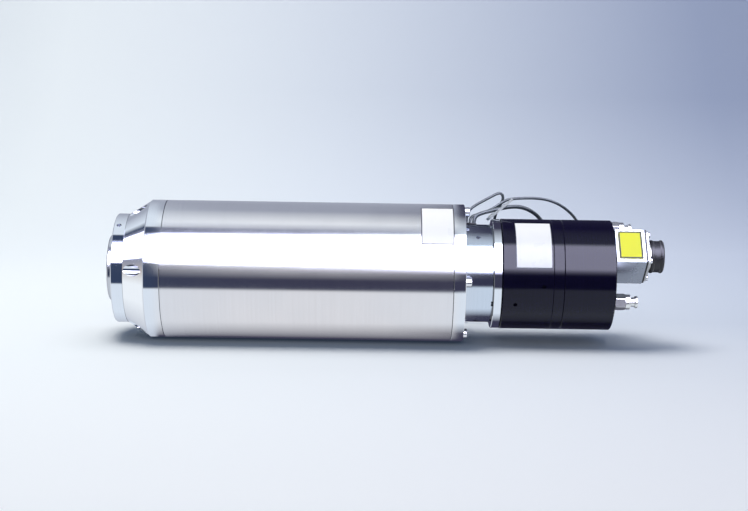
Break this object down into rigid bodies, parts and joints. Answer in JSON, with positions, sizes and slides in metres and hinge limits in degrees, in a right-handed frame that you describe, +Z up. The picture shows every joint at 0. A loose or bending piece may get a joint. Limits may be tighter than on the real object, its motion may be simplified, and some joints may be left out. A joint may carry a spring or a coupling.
{
  "type": "motor spindle",
  "caption": "Round milling motor spindle with cone nose, ground steel body sleeve, black drawbar cylinder, connector box, air fittings and sensor cables",
  "frame": {"origin": "on the spindle axis, half way along the ground body sleeve", "axes": "+X along the spindle axis from the nose to the drawbar cylinder, +Z up as the spindle lies on its body"},
  "size_m": [0.4986, 0.1815, 0.1354],
  "materials": {
    "ground_steel": "fine ground, satin",
    "polished_steel": "turned and polished",
    "hard_steel": "hardened and ground",
    "bearing_steel": "lapped",
    "spring_steel": "oiled",
    "screw_steel": "bright stainless",
    "black_screw_steel": "black oxide",
    "lamination_steel": "varnished stack",
    "copper": "varnished wire",
    "jacket_aluminium": "turned",
    "housing_aluminium": "clear anodised",
    "black_aluminium": "black anodised, satin",
    "piston_aluminium": "hard anodised",
    "black_rubber": "matt",
    "box_aluminium": "milled, clear anodised",
    "plated_metal": "nickel plated",
    "gold_plate": "gold plated",
    "black_plastic": "moulded",
    "sensor_brass": "nickel plated barrel",
    "lead_sleeve": "woven sleeve",
    "grey_cable": "cable jacket",
    "white_nylon": "moulded"
  },
  "bodies": {
    "housing": {"body_sleeve": "ground_steel", "front_flange": "polished_steel", "front_ring": "polished_steel", "rear_flange": "polished_steel", "rod_flange": "polished_steel", "outer_spacer": "hard_steel", "front_bearing_retainer": "hard_steel", "front_bearing_outer_rings": "bearing_steel", "rear_bearing_outer_rings": "bearing_steel", "front_flange_screws": "screw_steel", "rear_flange_screws": "screw_steel", "sensor_housing_screws": "screw_steel", "sensor_set_screws": "screw_steel", "connector_screws": "screw_steel", "tie_screws": "black_screw_steel", "stator_core": "lamination_steel", "stator_winding": "copper", "cooling_jacket": "jacket_aluminium", "sensor_housing": "housing_aluminium", "cylinder_front_body": "black_aluminium", "mid_plate": "black_aluminium", "cylinder_rear_body": "black_aluminium", "jacket_o_rings": "black_rubber", "rod_seals": "black_rubber", "cable_grommet": "black_rubber", "connector_gasket": "black_rubber", "connector_box": "box_aluminium", "connector_socket": "plated_metal", "air_fittings": "plated_metal", "connector_pins": "gold_plate", "connector_insert": "black_plastic", "proximity_sensors": "sensor_brass", "power_leads": "lead_sleeve", "sensor_cable_1": "grey_cable", "sensor_cable_2": "grey_cable", "sensor_cable_3": "grey_cable", "sensor_cable_coil_1": "grey_cable", "sensor_cable_coil_2": "grey_cable", "sensor_cable_coil_3": "grey_cable", "cable_tie": "white_nylon"},
    "rotor": {"spindle_shaft": "hard_steel", "rotor_core": "lamination_steel", "front_bearing_inner_rings": "bearing_steel", "rear_bearing_inner_rings": "bearing_steel", "bearing_spacers": "hard_steel", "shaft_nuts": "hard_steel", "disc_springs": "spring_steel"},
    "front_balls": {"front_bearing_balls": "bearing_steel"},
    "rear_balls": {"rear_bearing_balls": "bearing_steel"},
    "drawbar": {"drawbar": "hard_steel", "gripper": "hard_steel", "sensor_ring": "hard_steel"},
    "pistons": {"front_piston": "piston_aluminium", "rear_piston": "piston_aluminium", "piston_rod": "hard_steel", "piston_seals": "black_rubber"},
    "release_collar_1": {"release_collar_1": "plated_metal"},
    "release_collar_2": {"release_collar_2": "plated_metal"},
    "cap_seal": {"cap_seal": "black_rubber"},
    "dust_cap": {"dust_cap": "black_plastic"}
  },
  "joints": [
    {"name": "spindle_spin", "type": "hinge", "parent": "housing", "child": "rotor", "pos_m": [0, 0, 0], "axis": [1, 0, 0], "continuous": true},
    {"name": "front_balls_spin", "type": "hinge", "parent": "housing", "child": "front_balls", "pos_m": [-0.12, 0, 0], "axis": [1, 0, 0], "continuous": true},
    {"name": "rear_balls_spin", "type": "hinge", "parent": "housing", "child": "rear_balls", "pos_m": [0.09, 0, 0], "axis": [1, 0, 0], "continuous": true},
    {"name": "piston_slide", "type": "slide", "parent": "housing", "child": "pistons", "axis": [-1, 0, 0], "range_m": [0, 0.0068]},
    {"name": "drawbar_slide", "type": "slide", "parent": "rotor", "child": "drawbar", "axis": [-1, 0, 0], "range_m": [0, 0.006], "stiffness_N_per_m": 5000, "deforming": ["disc_springs"]},
    {"name": "release_collar_1_press", "type": "slide", "parent": "housing", "child": "release_collar_1", "axis": [-1, 0, 0], "range_m": [0, 0.0012], "stiffness_N_per_m": 500},
    {"name": "release_collar_2_press", "type": "slide", "parent": "housing", "child": "release_collar_2", "axis": [-1, 0, 0], "range_m": [0, 0.0012], "stiffness_N_per_m": 500},
    {"name": "cap_lift", "type": "slide", "parent": "housing", "child": "cap_seal", "axis": [1, 0, 0], "range_m": [0, 0.003]},
    {"name": "cap_turn", "type": "hinge", "parent": "cap_seal", "child": "dust_cap", "pos_m": [0.3117, -0.02399, 0.02056], "axis": [1, 0, 0], "range_deg": [0, 720]}
  ],
  "couplings": [
    {"joint": "front_balls_spin", "follows": "spindle_spin", "ratio": 0.4275},
    {"joint": "rear_balls_spin", "follows": "spindle_spin", "ratio": 0.4193},
    {"joint": "drawbar_slide", "follows": "piston_slide", "ratio": 0.882},
    {"joint": "cap_turn", "follows": "cap_lift", "rad_per_m": 4188.8}
  ]
}
